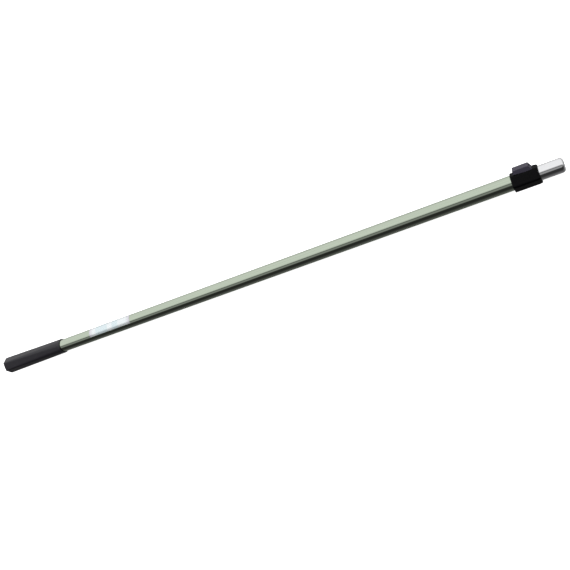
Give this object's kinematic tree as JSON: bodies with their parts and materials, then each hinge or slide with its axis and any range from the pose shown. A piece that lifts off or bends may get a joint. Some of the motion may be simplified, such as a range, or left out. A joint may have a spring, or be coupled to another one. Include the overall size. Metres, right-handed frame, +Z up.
{
  "type": "roller extension pole",
  "caption": "Two-section telescopic roller pole with rubber grip, push-button lock collar and a chromed tool spigot at the tip.",
  "frame": {"origin": "centre of the grip's flat butt face, on the pole's axis", "axes": "+X along the pole to the tool spigot, +Z up through the lock button"},
  "size_m": [1.326, 0.0378, 0.0438],
  "materials": {
    "green_anodised": "polished green anodised",
    "grip_rubber": "fine moulded texture",
    "black_nylon": "moulded satin",
    "button_nylon": "moulded satin",
    "acetal": "moulded",
    "label_film": "printed film",
    "steel": "zinc plated",
    "chrome": "polished",
    "bright_aluminium": "drawn bright",
    "insert_aluminium": "turned"
  },
  "bodies": {
    "handle": {"outer_tube": "green_anodised", "grip": "grip_rubber", "butt_plug": "black_nylon", "label": "label_film", "lock_housing": "black_nylon", "end_ring": "black_nylon", "guide_bush": "acetal", "housing_screws": "steel", "pivot_pin": "steel", "button_spring": "steel"},
    "lock_button": {"lock_button": "button_nylon", "pawl": "steel"},
    "inner_pole": {"inner_tube": "bright_aluminium", "tip_ferrule": "chrome", "tip_insert": "insert_aluminium", "ferrule_pin": "steel", "tail_plug": "black_nylon", "stop_sleeve": "acetal", "stop_pins": "steel"}
  },
  "joints": [
    {"name": "pole_extend", "type": "slide", "parent": "handle", "child": "inner_pole", "axis": [1, 0, 0], "range_m": [0, 1.1]},
    {"name": "button_rock", "type": "hinge", "parent": "handle", "child": "lock_button", "pos_m": [1.2606, 0, 0.0144], "axis": [0, -1, 0], "range_deg": [0, 5], "stiffness_Nm_per_rad": 1.5, "deforming": ["button_spring"]}
  ]
}
